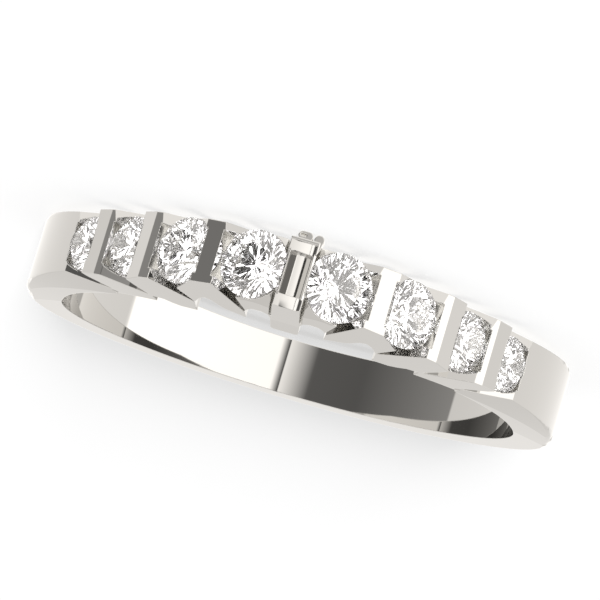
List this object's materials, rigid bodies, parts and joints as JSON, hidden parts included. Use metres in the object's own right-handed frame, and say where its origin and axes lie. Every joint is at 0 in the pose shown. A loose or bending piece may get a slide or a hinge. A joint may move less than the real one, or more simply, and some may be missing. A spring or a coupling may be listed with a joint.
{
  "type": "bar set band",
  "caption": "Polished white metal finger ring whose raised head holds graduated round stones between upright bars, with open slots and arched side faces.",
  "frame": {"origin": "middle of the finger hole", "axes": "+Z along the finger, the middle of the head points to -Y, both halves mirror each other over X"},
  "size_m": [0.0192, 0.021, 0.003],
  "materials": {
    "white_gold": "polished",
    "diamond": "faceted"
  },
  "bodies": {
    "root": {"band": "white_gold", "stone_1": "diamond", "stone_2": "diamond", "stone_3": "diamond", "stone_4": "diamond", "stone_5": "diamond", "stone_6": "diamond", "stone_7": "diamond", "stone_8": "diamond"}
  },
  "joints": []
}
